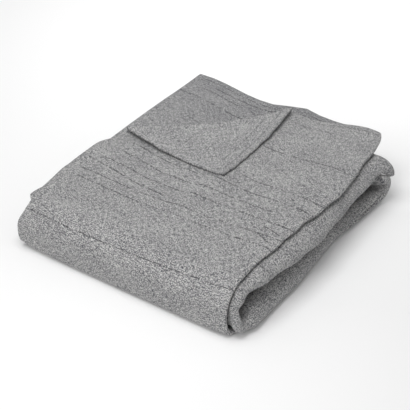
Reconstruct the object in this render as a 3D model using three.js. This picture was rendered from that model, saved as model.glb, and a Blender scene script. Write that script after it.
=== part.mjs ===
// A woven throw blanket as it lies on a shelf. It is folded in four across its width, the strip is then
// folded over and over along its length into four passes, and the free corner of the top ply is turned back.
// The whole throw is one sheet of cloth. X runs along the front fold, Y goes to the back, Z is up, and the
// origin is at the middle of the underside.
import * as THREE from 'three';

const { lerp, smoothstep, clamp } = THREE.MathUtils;

// Driving sizes in millimetres
const THICKNESS = 1.6;
const PITCH = 4.75;
const TOP_LEVEL = 15;
const FRONT_Y = -180;
const BACK_Y = 142;
const INNER_FRONT_Y = -172;
const HIDDEN_END_Y = 128;
const HIGH_SIDE_GAIN = 0.07;
const STACK_HALF_WIDTH = 170;

// Where the strip's back end lies, from the first side hem to the last: `across` counts the plies passed, so
// 1 is the upper fold at the right, 2 the fold at the left and 3 the lower fold at the right
const backEnd = [
  { across: 0, y: 207 },
  { across: 1, y: 207 },
  { across: 2, y: 212 },
  { across: 3, y: 165 },
  { across: 4, y: 172 },
];

// How far the back end of the two upper plies wanders out or in along X
const backWave = [
  { x: -175, out: 4 },
  { x: -110, out: 5 },
  { x: -52, out: -8 },
  { x: 0, out: -7 },
  { x: 30, out: -2 },
  { x: 85, out: -6 },
  { x: 145, out: 2 },
  { x: 165, out: -1 },
];

// How square the front fold is above and below its middle along X, where 2 is a half circle
const frontFullness = [
  { x: -176, above: 1.65, below: 4.0 },
  { x: -140, above: 1.95, below: 6.5 },
  { x: -60, above: 2.0, below: 9.0 },
  { x: 110, above: 2.0, below: 8.5 },
  { x: 165, above: 2.0, below: 7.0 },
];

// The folded strip along its length: 0 to 1 is the top pass, 2 to 3 the bottom pass, 4 to 5 and 6 to 7 the two
// inner passes, and the stretches between them are the front fold, the back fold and the inner front fold.
// `hem` and `last` are the side hems in X, `upper`, `left` and `lower` say how far out each lengthwise fold
// reaches in X, and `top` and `deep` are the depths between which the loose lower fold at the right stands open.
const course = [
  { at: 0.0, hem: -216, upper: 153, left: -175, lower: 196, last: -160, top: 9.5, deep: 20 },
  { at: 0.03, hem: -211, upper: 160, left: -176, lower: 193, last: -161, top: 9.0, deep: 22 },
  { at: 0.1, hem: -199, upper: 165, left: -176, lower: 186, last: -162, top: 8.0, deep: 25 },
  { at: 0.22, hem: -178, upper: 169, left: -176, lower: 186, last: -163, top: 8.0, deep: 26 },
  { at: 0.4, hem: -175, upper: 176, left: -176, lower: 187, last: -162, top: 8.0, deep: 26 },
  { at: 0.53, hem: -178, upper: 173, left: -176, lower: 190, last: -164, top: 8.0, deep: 26 },
  { at: 0.7, hem: -178, upper: 165, left: -175, lower: 188, last: -165, top: 8.0, deep: 25 },
  { at: 0.82, hem: -178, upper: 162, left: -175, lower: 182, last: -165, top: 7.5, deep: 22 },
  { at: 0.92, hem: -174, upper: 160, left: -172, lower: 180, last: -165, top: 7.0, deep: 20 },
  { at: 1.0, hem: -173, upper: 160, left: -172, lower: 172, last: -166, top: 7.5, deep: 19 },
  { at: 1.3, hem: -175, upper: 159, left: -172, lower: 169, last: -166, top: 8.0, deep: 20 },
  { at: 1.6, hem: -177, upper: 158, left: -173, lower: 170, last: -166, top: 7.5, deep: 20 },
  { at: 1.85, hem: -177, upper: 161, left: -174, lower: 178, last: -167, top: 5.0, deep: 23 },
  { at: 2.0, hem: -176, upper: 163, left: -174, lower: 183, last: -167, top: 3.0, deep: 30 },
  { at: 2.15, hem: -175, upper: 163, left: -174, lower: 185, last: -168, top: 1.6, deep: 33 },
  { at: 2.3, hem: -176, upper: 162, left: -175, lower: 189, last: -168, top: 1.6, deep: 34 },
  { at: 2.5, hem: -178, upper: 164, left: -174, lower: 185, last: -166, top: 1.6, deep: 32 },
  { at: 2.63, hem: -176, upper: 166, left: -173, lower: 180, last: -164, top: 1.6, deep: 29 },
  { at: 2.8, hem: -176, upper: 168, left: -173, lower: 187, last: -164, top: 2.0, deep: 26 },
  { at: 3.0, hem: -174, upper: 168, left: -172, lower: 193, last: -162, top: 3.0, deep: 21 },
  { at: 3.3, hem: -173, upper: 166, left: -172, lower: 195, last: -162, top: 5.0, deep: 19 },
  { at: 3.7, hem: -172, upper: 158, left: -170, lower: 197, last: -162, top: 7.0, deep: 17 },
  { at: 4.0, hem: -172, upper: 146, left: -170, lower: 190, last: -162, top: 9.5, deep: 15 },
  { at: 4.3, hem: -174, upper: 142, left: -171, lower: 174, last: -163, top: 9.5, deep: 15 },
  { at: 4.7, hem: -175, upper: 143, left: -172, lower: 160, last: -164, top: 9.5, deep: 15 },
  { at: 5.0, hem: -172, upper: 144, left: -170, lower: 152, last: -163, top: 9.5, deep: 14.25 },
  { at: 6.0, hem: -172, upper: 140, left: -170, lower: 146, last: -163, top: 9.5, deep: 14.25 },
  { at: 7.0, hem: -170, upper: 134, left: -168, lower: 142, last: -161, top: 9.5, deep: 15 },
];

// The neck of the open lower fold: its least length above and below, how much further in its lower side starts
// than the upper fold's edge, and the fold's greatest radius in X
const neck = { above: 8, below: 12, slope: 28, radius: 12 };

// The turned-back corner: the line of the turn in plan and the place of the cloth's corner, how far the two hems
// run from that corner to the turn, the turn's radius in its middle and at its ends, how high the corner lies
// above the top ply and where the flap has settled to that, how the two hems bow, and how far past the turn the
// cloth is drawn in, as a share of the way to it
const corner = {
  turn: new THREE.QuadraticBezierCurve(
    new THREE.Vector2(-156, 7),
    new THREE.Vector2(-20, 94),
    new THREE.Vector2(13, 196),
  ),
  tip: new THREE.Vector2(24, -13),
  sideHem: 190,
  endHem: 220,
  roll: 4.4,
  endRoll: 2.2,
  tipLift: 3.2,
  settled: 0.8,
  sideBow: new THREE.Vector2(-1, -8),
  endBow: new THREE.Vector2(6, 0),
  reach: 1.8,
};

// The stretches of the strip from its back end inwards. A pass lies level: its outer face is at `level` pitches,
// its plies follow on the `inward` side and it runs in Y. A fold turns about `level` with its outer ply at
// `radius`, bulges towards `side` in Y and starts at its top or its bottom. `cuts` or `steps` divide each one.
const topCuts = [0, 0.03, 0.1, 0.22, 0.34, 0.46, 0.58, 0.7, 0.8, 0.88, 0.94, 1];
const stretches = [
  { name: 'top pass', level: TOP_LEVEL, inward: -1, toY: FRONT_Y, cuts: topCuts },
  { name: 'front fold', level: 7.5, radius: 7.5, y: FRONT_Y, side: -1, start: 1, steps: 10 },
  { name: 'bottom pass', level: 0, inward: 1, fromY: FRONT_Y, toY: BACK_Y, steps: 7 },
  { name: 'back fold', level: 5.5, radius: 5.5, y: BACK_Y, side: 1, start: -1, steps: 7 },
  { name: 'upper inner pass', level: 11, inward: -1, fromY: BACK_Y, toY: INNER_FRONT_Y, steps: 6 },
  { name: 'inner front fold', level: 7.5, radius: 3.5, y: INNER_FRONT_Y, side: -1, start: 1, steps: 6 },
  { name: 'lower inner pass', level: 4, inward: 1, fromY: INNER_FRONT_Y, toY: HIDDEN_END_Y, steps: 5 },
];

// How finely each span of the cross-section is divided
const PLY_STEPS = 4;
const TOP_PLY_STEPS = 8;
const TURN_STEPS = 5;
const NECK_STEPS = 3;
const LOOP_STEPS = 8;
const ROLL_STEPS = 6;
const FAR_SHARE = 9;

// The value of one column of a table at a station, eased from row to row
function column(table, key, name, at) {
  let i = 0;
  while (i < table.length - 2 && table[i + 1][key] < at) i += 1;
  const a = table[i];
  const b = table[i + 1];
  return lerp(a[name], b[name], clamp((at - a[key]) / (b[key] - a[key]), 0, 1));
}

// Points of one half-round turn from depth d0 to depth d1, bulging out from x = hub, as [x, depth]
function turn(hub, radius, d0, d1, steps, side) {
  const points = [];
  for (let i = 0; i <= steps; i += 1) {
    const angle = Math.PI * (i / steps);
    const x = hub + side * radius * Math.sin(angle);
    points.push([x, (d0 + d1) / 2 + ((d0 - d1) / 2) * Math.cos(angle)]);
  }
  return points;
}

// Points of a level run, or of an eased slope where the two depths differ
function run(x0, d0, x1, d1, steps) {
  const points = [];
  for (let i = 0; i <= steps; i += 1) {
    const f = i / steps;
    points.push([lerp(x0, x1, f), lerp(d0, d1, smoothstep(f, 0, 1))]);
  }
  return points;
}

// The strip's cross-section at a station, from the first side hem to the last, as [x, depth, across]
function crossSection(at) {
  const value = (name) => column(course, 'at', name, at);
  const bend = PITCH / 2;
  const upper = value('upper') - bend;
  const left = value('left') + bend;
  const loopTop = value('top');
  const loopDeep = value('deep');
  const opening = clamp((loopDeep - loopTop) / PITCH - 1, 0, 1);
  const loopRadius = Math.min((loopDeep - loopTop) / 2, neck.radius);
  const hub = value('lower') - loopRadius;
  const neckIn = lerp(hub - neck.above, Math.min(upper, hub - neck.above), opening);
  const neckOut = lerp(hub - neck.below, Math.min(upper - neck.slope, hub - neck.below), opening);
  const lastEdge = value('last');
  const spans = [
    { points: run(value('hem'), 0, upper, 0, TOP_PLY_STEPS), from: 0, to: 1 },
    { points: turn(upper, bend, 0, PITCH, TURN_STEPS, 1), from: 1, to: 1 },
    { points: run(upper, PITCH, left, PITCH, PLY_STEPS), from: 1, to: 2 },
    { points: turn(left, bend, PITCH, 2 * PITCH, TURN_STEPS, -1), from: 2, to: 2 },
    { points: run(left, 2 * PITCH, neckIn, 2 * PITCH, PLY_STEPS), from: 2, to: 2.9 },
    { points: run(neckIn, 2 * PITCH, hub, loopTop, NECK_STEPS), from: 2.9, to: 3 },
    { points: turn(hub, loopRadius, loopTop, loopDeep, LOOP_STEPS, 1), from: 3, to: 3 },
    { points: run(hub, loopDeep, neckOut, 3 * PITCH, NECK_STEPS), from: 3, to: 3.1 },
    { points: run(neckOut, 3 * PITCH, lastEdge, 3 * PITCH, PLY_STEPS), from: 3.1, to: 4 },
  ];
  return spans.flatMap(({ points, from, to }, i) => {
    const marked = points.map(([x, depth], k) => [x, depth, lerp(from, to, k / (points.length - 1))]);
    return i ? marked.slice(1) : marked;
  });
}

// Where the strip's back end lies in Y for a point of the cross-section
function backEndY([x, , across]) {
  const upperPlies = clamp(3 - across, 0, 1);
  return column(backEnd, 'across', 'y', across) + upperPlies * column(backWave, 'x', 'out', x);
}

// A point of the strip's side view at a station: [y, z]
function sideView(at, point) {
  const number = Math.min(Math.floor(at), stretches.length - 1);
  const stretch = stretches[number];
  const f = at - number;
  const [x, depth] = point;
  if (stretch.inward) {
    const y = lerp(stretch.fromY ?? backEndY(point), stretch.toY, f);
    return [y, stretch.level * PITCH + stretch.inward * depth];
  }
  const radius = stretch.radius * PITCH - depth;
  const along = Math.sin(Math.PI * f);
  const upright = stretch.start * Math.cos(Math.PI * f);
  const fullness = column(frontFullness, 'x', upright < 0 ? 'below' : 'above', x);
  const outer = stretch.side < 0 ? clamp(radius / (TOP_LEVEL * PITCH * 0.5), 0, 1) : 0;
  const power = lerp(2, fullness, outer);
  const reach = (Math.abs(along) ** power + Math.abs(upright) ** power) ** (-1 / power);
  return [stretch.y + stretch.side * radius * reach * along, stretch.level * PITCH + radius * reach * upright];
}

// The stack stands a little higher along its right side, where the folds lie
function settle(point) {
  const high = clamp(point.x / STACK_HALF_WIDTH, -1, 1);
  point.z = THICKNESS / 2 + point.z * (1 + HIGH_SIDE_GAIN * (0.5 + 0.5 * high));
  return point;
}

const sections = new Map();

// A point of the cross-section at a station, between its numbered corners
function sectionPoint(number, at) {
  if (!sections.has(at)) sections.set(at, crossSection(at));
  const section = sections.get(at);
  const i = Math.min(Math.floor(number), section.length - 2);
  return section[i].map((value, k) => lerp(value, section[i + 1][k], number - i));
}

// How far a place on the top ply is from the corner of the cloth, as a share of the way to the turn, and
// where along the turn the line from the corner through it ends
function cornerShare(number, at) {
  if (number >= TOP_PLY_STEPS || at >= 1) return { share: FAR_SHARE, along: 0 };
  const fromSide = (sectionPoint(number, at)[0] - sectionPoint(0, at)[0]) / corner.endHem;
  const fromEnd = (at * (backEnd[0].y - FRONT_Y)) / corner.sideHem;
  const share = fromSide + fromEnd;
  return { share, along: share > 0 ? fromSide / share : 0.5 };
}

const cornerHeight = (corner.sideHem * corner.endHem) / Math.hypot(corner.sideHem, corner.endHem);
const rollShare = (Math.PI * corner.roll) / 2 / cornerHeight;

// The height of the top ply's middle at a place in plan
function topHeight(x, y) {
  return settle(new THREE.Vector3(x, y, TOP_LEVEL * PITCH)).z;
}

// How far the cloth is drawn in at the foot of the turn, where the line at `along` would lie level
function drawnIn(start, along) {
  const at = ((1 - along) * (1 + rollShare) * corner.sideHem) / (backEnd[0].y - FRONT_Y);
  const x = column(course, 'at', 'hem', at) + along * (1 + rollShare) * corner.endHem;
  const [y] = sideView(at, [x, 0, 0]);
  return start.clone().sub(new THREE.Vector2(x, y));
}

// The centre of the cloth at a place given by its number along the cross-section and its station
function place(number, at) {
  const point = sectionPoint(number, at);
  const [x] = point;
  const [y, z] = sideView(at, point);
  const { share, along } = cornerShare(number, at);
  if (share > corner.reach) return settle(new THREE.Vector3(x, y, z));
  const start = corner.turn.getPoint(along);
  if (share > 1 + rollShare) {
    const pull = smoothstep(corner.reach - share, 0, corner.reach - 1 - rollShare);
    const foot = new THREE.Vector2(x, y).addScaledVector(drawnIn(start, along), pull);
    return new THREE.Vector3(foot.x, foot.y, topHeight(foot.x, foot.y));
  }
  const roll = lerp(corner.endRoll, corner.roll, Math.sin(Math.PI * along));
  if (share > 1 - rollShare) {
    const tangent = corner.turn.getTangent(along);
    const outward = new THREE.Vector2(-tangent.y, tangent.x);
    const angle = ((1 - share) / rollShare) * (Math.PI / 2);
    const out = start.addScaledVector(outward, roll * Math.cos(angle));
    return new THREE.Vector3(out.x, out.y, topHeight(out.x, out.y) + roll * (1 + Math.sin(angle)));
  }
  const near = 1 - share / (1 - rollShare);
  const bow = corner.sideBow.clone().lerp(corner.endBow, along).multiplyScalar(4 * near * (1 - near));
  const lies = start.lerp(corner.tip, near).add(bow);
  const lift = lerp(2 * roll, corner.tipLift, smoothstep(near, 0, corner.settled));
  return new THREE.Vector3(lies.x, lies.y, topHeight(lies.x, lies.y) + lift);
}

// Splits every face that a contour of the given value crosses, with the new corners on the contour
function splitAlong(faces, valueAt, level) {
  const result = [];
  for (const face of faces) {
    const values = face.map(([c, s]) => valueAt(c, s) - level);
    if (values.every((v) => v >= 0) || values.every((v) => v <= 0)) {
      result.push(face);
      continue;
    }
    const sides = [[], []];
    face.forEach((corner0, i) => {
      const j = (i + 1) % face.length;
      if (values[i] >= 0) sides[0].push(corner0);
      if (values[i] <= 0) sides[1].push(corner0);
      if (values[i] * values[j] < 0) {
        const f = values[i] / (values[i] - values[j]);
        const crossing = corner0.map((value, k) => lerp(value, face[j][k], f));
        sides[0].push(crossing);
        sides[1].push(crossing);
      }
    });
    result.push(...sides);
  }
  return result;
}

// The cloth as a grid of faces in cross-section columns and stations, with the lines of the turned corner in it
function clothFaces() {
  const stations = [0];
  stretches.forEach(({ cuts, steps }, i) => {
    const shares = cuts ?? Array.from({ length: steps + 1 }, (_, k) => k / steps);
    stations.push(...shares.slice(1).map((f) => i + f));
  });
  const columns = crossSection(0).length - 1;
  let faces = [];
  for (let c = 0; c < columns; c += 1) {
    for (let s = 0; s < stations.length - 1; s += 1) {
      faces.push([[c, stations[s]], [c, stations[s + 1]], [c + 1, stations[s + 1]], [c + 1, stations[s]]]);
    }
  }
  for (let i = 0; i <= ROLL_STEPS; i += 1) {
    const level = 1 + rollShare * (1 - (2 * i) / ROLL_STEPS);
    faces = splitAlong(faces, (c, s) => cornerShare(c, s).share, level);
  }
  return faces;
}

// A closed sheet of even thickness on the cloth's faces
function sheetGeometry(faces, thickness) {
  const numbers = new Map();
  const centres = [];
  const numbered = faces.map((face) => face.map(([c, s]) => {
    const key = `${c.toFixed(5)} ${s.toFixed(5)}`;
    if (!numbers.has(key)) {
      numbers.set(key, centres.length);
      centres.push(place(c, s));
    }
    return numbers.get(key);
  }));
  const triangles = numbered.flatMap((face) => face.slice(2).map((_, i) => [face[0], face[i + 1], face[i + 2]]));
  const normals = centres.map(() => new THREE.Vector3());
  for (const [a, b, c] of triangles) {
    const ab = centres[b].clone().sub(centres[a]);
    const normal = ab.cross(centres[c].clone().sub(centres[a]));
    [a, b, c].forEach((i) => normals[i].add(normal));
  }
  normals.forEach((normal) => normal.setLength(thickness / 2));
  const positions = [
    ...centres.flatMap((p, i) => p.clone().add(normals[i]).toArray()),
    ...centres.flatMap((p, i) => p.clone().sub(normals[i]).toArray()),
  ];
  const count = centres.length;
  const index = triangles.flatMap(([a, b, c]) => [a, b, c, a + count, c + count, b + count]);
  const open = new Map();
  for (const face of numbered) {
    face.forEach((a, i) => {
      const b = face[(i + 1) % face.length];
      if (!open.delete(`${b} ${a}`)) open.set(`${a} ${b}`, [a, b]);
    });
  }
  for (const [a, b] of open.values()) index.push(a, a + count, b, b, a + count, b + count);
  const geometry = new THREE.BufferGeometry();
  geometry.setAttribute('position', new THREE.Float32BufferAttribute(positions, 3));
  geometry.setIndex(index);
  return geometry;
}

const geometry = sheetGeometry(clothFaces(), THICKNESS);
geometry.computeBoundingBox();
const middle = geometry.boundingBox.getCenter(new THREE.Vector3());
geometry.translate(-middle.x, -middle.y, -geometry.boundingBox.min.z);
geometry.computeVertexNormals();

const cotton = new THREE.MeshStandardMaterial({ color: 0x8e8e90, roughness: 0.95, metalness: 0 });
const cloth = new THREE.Mesh(geometry, cotton);
cloth.name = 'throw';

const throwBlanket = new THREE.Group();
throwBlanket.add(cloth);

export default throwBlanket;
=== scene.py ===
import bisect
import functools
import math

import bmesh
import bpy
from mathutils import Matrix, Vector, noise


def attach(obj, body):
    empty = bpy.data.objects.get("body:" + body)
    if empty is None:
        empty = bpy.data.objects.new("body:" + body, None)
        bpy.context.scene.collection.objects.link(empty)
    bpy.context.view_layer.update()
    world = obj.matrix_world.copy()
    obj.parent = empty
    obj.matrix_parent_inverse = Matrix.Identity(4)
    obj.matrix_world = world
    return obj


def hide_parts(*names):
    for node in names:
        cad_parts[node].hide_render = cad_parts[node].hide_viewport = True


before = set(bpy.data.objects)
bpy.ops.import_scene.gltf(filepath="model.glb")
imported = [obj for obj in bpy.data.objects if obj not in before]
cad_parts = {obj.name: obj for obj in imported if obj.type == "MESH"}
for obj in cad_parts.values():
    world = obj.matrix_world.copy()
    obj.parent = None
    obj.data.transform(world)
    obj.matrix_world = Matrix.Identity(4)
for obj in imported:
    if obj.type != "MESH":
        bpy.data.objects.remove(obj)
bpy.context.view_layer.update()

bl_info = {
    "name": "Folded woven throw",
    "version": (1, 0, 0),
    "blender": (4, 5, 0),
    "location": "View3D > Sidebar > Throw",
    "description": "A woven throw blanket folded into a stack, with one corner of its top ply turned back",
    "category": "Object",
}

# Sizes and places are millimetres, other than where metres are named: X along the front fold, Y to the back
# and Z up from the surface
MM = 0.001

# The height from one ply to the next, and how many of these the top ply lies above the lowest
PITCH = 4.75
TOP_LEVEL = 15

# Where the passes of the strip end at the front and at the back
FRONT_Y = -180
BACK_Y = 142
INNER_FRONT_Y = -172
HIDDEN_END_Y = 128

# How high the middle of the lowest ply lies, the share by which the stack stands higher along its right side
# than along its left, and its usual half width and height
BASE_CENTRE = 1.5
HIGH_SIDE_GAIN = 0.07
STACK_HALF_WIDTH = 170
STACK_HEIGHT = 78

# Where the middle of the folded stack lies in the tables' own coordinates
STACK_MIDDLE = Vector((10.083, -0.179, 0))


def table(columns, rows):
    """A table, each row of which knows its values by the names of the columns"""
    return [dict(zip(columns, row)) for row in rows]


# Where the strip's back end lies: `across` counts the plies passed from the first side hem
BACK_END = [
    {"across": 0, "y": 207},
    {"across": 1, "y": 207},
    {"across": 2, "y": 212},
    {"across": 3, "y": 165},
    {"across": 4, "y": 172},
]

# How far the back end of the two upper plies wanders out or in along X
BACK_WAVE = [
    {"x": -175, "out": 12},
    {"x": -150, "out": 11},
    {"x": -130, "out": 7.5},
    {"x": -85, "out": -4},
    {"x": -52, "out": -10.5},
    {"x": -5, "out": -9.5},
    {"x": 4, "out": 3},
    {"x": 14, "out": 8},
    {"x": 30, "out": 6},
    {"x": 50, "out": 1.5},
    {"x": 85, "out": -1},
    {"x": 145, "out": 3},
    {"x": 165, "out": -3},
]

# How square the front fold is above and below its middle along X, where 2 is a half circle
FRONT_FULLNESS = [
    {"x": -176, "above": 1.5, "below": 4.0},
    {"x": -140, "above": 1.95, "below": 6.5},
    {"x": -60, "above": 2.0, "below": 9.0},
    {"x": 110, "above": 2.0, "below": 8.5},
    {"x": 165, "above": 2.0, "below": 7.0},
]

# The folded strip along its length, by stations: 0 to 1 is the top pass, 2 to 3 the bottom pass, 4 to 5 and
# 6 to 7 the two inner passes, and the stretches between them are the folds. `hem` and `last` are the side
# hems in X, `upper`, `left` and `lower` say how far out each lengthwise fold reaches in X, and `top` and
# `deep` are the depths between which the loose lower fold at the right stands open.
COURSE = table(("at", "hem", "upper", "left", "lower", "last", "top", "deep"), (
    (0.0, -216, 153, -175, 198.5, -160, 9.0, 31.6),
    (0.014, -214, 156.5, -175.5, 198, -160.5, 8.8, 30),
    (0.03, -211, 160, -176, 196, -161, 8.5, 26),
    (0.06, -205, 162.5, -176, 190, -161.5, 8.2, 19),
    (0.1, -199, 165, -176, 186, -162, 8.0, 21.5),
    (0.22, -178, 169, -176, 186, -163, 8.0, 25),
    (0.4, -175, 176, -176, 187, -162, 8.0, 26),
    (0.53, -179, 173, -176, 190, -164, 8.0, 26),
    (0.7, -178.5, 165, -175, 188, -165, 8.0, 25),
    (0.82, -178, 162, -175, 182, -165, 7.5, 22),
    (0.92, -172.5, 160, -175.5, 180, -165, 7.0, 20),
    (1.0, -170, 160, -180.5, 172, -166, 7.5, 19),
    (1.12, -168.5, 159.6, -172.5, 170.6, -166, 7.7, 19.4),
    (1.3, -172, 159, -172, 171, -166, 8.0, 19),
    (1.44, -176, 158.5, -172.5, 168, -166, 8.0, 17),
    (1.6, -177, 158, -173, 172, -166, 7.5, 14),
    (1.72, -177, 160.5, -173.5, 175.5, -166.5, 6.5, 15),
    (1.85, -177, 165, -174, 178, -167, 5.0, 21),
    (2.0, -176, 167, -174, 183, -167, 3.0, 27),
    (2.15, -175, 163, -174, 183, -168, 1.8, 28),
    (2.3, -176, 162, -175, 185, -168, 1.8, 29),
    (2.5, -178, 164, -174, 182, -166, 1.8, 27),
    (2.63, -176, 166, -173, 180, -164, 1.8, 25),
    (2.8, -176, 168, -173, 186, -164, 2.0, 24),
    (3.0, -174, 168, -172, 192, -162, 3.0, 21),
    (3.3, -173, 166, -172, 196, -162, 4.0, 18),
    (3.7, -172, 158, -170, 198, -162, 4.5, 15),
    (3.85, -172, 152, -170, 197, -162, 6.0, 16),
    (3.95, -172, 148, -170, 187, -162, 6.0, 20),
    (4.0, -172, 146, -170, 180, -162, 5.0, 21),
    (4.06, -172.5, 144.5, -170, 175, -162, 4.0, 18.5),
    (4.14, -173, 143, -170.5, 164, -162.5, 5.5, 16),
    (4.3, -174, 142, -171, 154, -163, 9.5, 15),
    (4.7, -175, 143, -172, 149, -164, 9.5, 15),
    (5.0, -172, 144, -170, 152, -163, 9.5, 14.25),
    (6.0, -172, 140, -170, 146, -163, 9.5, 14.25),
    (7.0, -170, 134, -168, 142, -161, 9.5, 14.25),
))

# The small scallops of the two right-hand folds over the top pass and the front fold, in X
UPPER_SCALLOPS = [
    {"at": 0.0, "out": 0.0},
    {"at": 0.12, "out": 0.8},
    {"at": 0.2, "out": -0.6},
    {"at": 0.28, "out": 0.6},
    {"at": 0.36, "out": -0.5},
    {"at": 0.43, "out": 0.9},
    {"at": 0.5, "out": -0.9},
    {"at": 0.57, "out": 1.2},
    {"at": 0.63, "out": -1.0},
    {"at": 0.69, "out": 1.4},
    {"at": 0.75, "out": -0.9},
    {"at": 0.81, "out": 1.0},
    {"at": 0.88, "out": -0.7},
    {"at": 1.0, "out": 0.4},
    {"at": 1.5, "out": -0.4},
    {"at": 2.0, "out": 0.0},
]
LOWER_SCALLOPS = [
    {"at": 0.0, "out": 0.0},
    {"at": 0.15, "out": 0.8},
    {"at": 0.28, "out": -0.8},
    {"at": 0.4, "out": 1.0},
    {"at": 0.5, "out": -1.2},
    {"at": 0.58, "out": 1.4},
    {"at": 0.68, "out": -1.2},
    {"at": 0.78, "out": 1.4},
    {"at": 0.86, "out": -1.0},
    {"at": 1.0, "out": 0.6},
    {"at": 2.0, "out": 0.0},
]

# The shape of the open lower fold: how deep its outermost edge lies, as a share of its opening, and how far
# in X the cloth takes to round over to that edge from above and to turn in under it
LOWER_LOOP = table(("at", "tip", "brow", "lip"), (
    (0.0, 0.85, 26, 4),
    (0.03, 0.8, 27, 4),
    (0.06, 0.8, 28, 4),
    (0.1, 0.84, 29, 4),
    (0.3, 0.84, 30, 3),
    (0.85, 0.84, 28, 3),
    (1.0, 0.75, 18, 4),
    (1.3, 0.6, 9, 4),
    (1.6, 0.5, 7, 3.5),
    (1.72, 0.45, 7, 5),
    (2.0, 0.32, 8, 20),
    (2.2, 0.26, 6, 25),
    (2.7, 0.3, 6, 22),
    (3.0, 0.45, 8, 11),
    (3.5, 0.5, 6, 6),
    (3.95, 0.5, 2.4, 3),
    (4.2, 0.5, 2.4, 2.4),
    (7.0, 0.5, 2.4, 2.4),
))

# The neck of the open lower fold: its lengths above and below, and how much further in its lower side starts
NECK = {"above": 8, "below": 12, "slope": 28}

# The upper fold is pressed: how far its edge hangs, how far apart its plies are, and how far in from the edge
# the top ply starts to drop and the second ply reaches its own level
UPPER_EDGE = {"drop": 1.0, "pinch": 3.3, "shoulder": 24, "opens": 26}

# The slow wander of the whole stack: how far it goes up, down and sideways, and over what distances
WANDER = {"rise": 1.1, "rise_over": 95, "small_rise": 0.55, "small_over": 38, "shift": 1.2, "shift_over": 80}

# Creases of the folded cloth: `push` moves the cloth at the line through the `places`, and less and less away
# from it, down to about a third at a distance of `width`. Under CREASED_ABOVE they fade out.
CREASED_ABOVE = 12
CREASES = [
    {
        "places": [
            (196, 149, 19), (192, 138, 15.5), (190, 120, 13.5),
            (186, 94, 12.5), (183, 60, 9), (181, 44, 8),
        ],
        "width": 2.8, "push": (-9, 0, 0.5),
    },
    {
        "places": [
            (194, 148, 24.5), (191.5, 138, 21), (190, 120, 18.5),
            (186, 94, 17.5), (183, 60, 14), (181, 44, 13),
        ],
        "width": 2.4, "push": (2.2, 0, 1.0),
    },
    {"places": [(186, 147, 55), (187, 148, 46), (190, 152, 33)], "width": 2.2, "push": (-6.0, 3.5, 0)},
    {"places": [(181, 130, 45), (185, 146, 37)], "width": 2.6, "push": (-5.0, -2.0, -1.0)},
    {"places": [(200, 156, 40), (201, 155, 28)], "width": 3, "push": (-1.6, 0.6, 0)},
    {"places": [(172, -198, 42), (175.5, -198, 30), (179, -196, 20)], "width": 3.4, "push": (-5.0, 3.0, 0)},
    {"places": [(8, -13, 80), (13, -4, 80)], "width": 4, "push": (0, 0.8, -2.3)},
    {
        "places": [(-140, 22, 83), (-98, 50, 83.5), (-52, 90, 84), (-12, 140, 84.5), (6, 176, 85)],
        "width": 5, "push": (0.5, -0.5, 1.8),
    },
    {"places": [(-200, 200, 75), (-190, 205, 75)], "width": 80, "push": (0, 0, -3.0)},
    {"places": [(-174, -100, 78), (-140, -92, 78)], "width": 12, "push": (0, 0, -1.2)},
    {"places": [(60, 214, 76), (72, 150, 76)], "width": 16, "push": (0, 0, -1.3)},
    {"places": [(120, 160, 78), (163, 120, 77)], "width": 14, "push": (0, 0, 1.2)},
    {"places": [(-60, -60, 78), (60, -96, 79), (150, -80, 80)], "width": 20, "push": (0, 0, -0.9)},
    {"places": [(-160, -208, 56), (-25, -207, 60), (120, -208, 62)], "width": 13, "push": (0, 1.2, -0.6)},
]

# The turned-back corner: the curve of its turn in plan, the place of the cloth's corner (`tip`), how far the
# two hems run from that corner to the turn, the radius of the roll in its middle and at its ends, how high
# the flap lies, its waves and swell and over what distances, how far its hems bow out, and how far the cloth
# is drawn in beside the turn, as a share of the way from the corner to the turn
TURN_CURVE = (Vector((-159, 8)), Vector((-23, 91)), Vector((16, 188)))
CORNER = {
    "tip": Vector((24, -13)),
    "side_hem": 190,
    "end_hem": 220,
    "roll": 4.5,
    "side_roll": 5.0,
    "end_roll": 4.4,
    "tip_lift": 4.4,
    "settled": 0.7,
    "waves": 2.2,
    "waves_over": 24,
    "waves_start": 0.3,
    "swell": 0.7,
    "swell_over": 32,
    "side_bow": Vector((-1, -8)),
    "end_bow": Vector((6, 0)),
    "side_reach": 1.4,
    "end_reach": 1.6,
}

# How far the corner lies from the line of the turn on the flat cloth, and half the cloth round the roll as a
# share of that
CORNER_HEIGHT = CORNER["side_hem"] * CORNER["end_hem"] / math.hypot(CORNER["side_hem"], CORNER["end_hem"])
ROLL_SHARE = math.pi * CORNER["roll"] / 2 / CORNER_HEIGHT

# The stretches of the strip from its back end inwards: the top pass, front fold, bottom pass, back fold,
# upper inner pass, inner front fold and lower inner pass. A pass lies level and runs in Y, and its deeper
# plies lie below its outer ply if `inward` is -1, and above it if it is 1. A fold turns about `level` with
# its outer ply at `radius`, both in pitches. It bulges to the front if `side` is -1, and starts at the top
# if `start` is 1. `steps` says how finely each is divided.
STRETCHES = [
    {"level": TOP_LEVEL, "inward": -1, "from_y": None, "to_y": FRONT_Y, "steps": 84},
    {"level": 7.5, "radius": 7.5, "y": FRONT_Y, "side": -1, "start": 1, "steps": 48},
    {"level": 0, "inward": 1, "from_y": FRONT_Y, "to_y": BACK_Y, "steps": 42},
    {"level": 5.5, "radius": 5.5, "y": BACK_Y, "side": 1, "start": -1, "steps": 20},
    {"level": 11, "inward": -1, "from_y": BACK_Y, "to_y": INNER_FRONT_Y, "steps": 14},
    {"level": 7.5, "radius": 3.5, "y": INNER_FRONT_Y, "side": -1, "start": 1, "steps": 8},
    {"level": 4, "inward": 1, "from_y": INNER_FRONT_Y, "to_y": HIDDEN_END_Y, "steps": 8},
]

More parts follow.
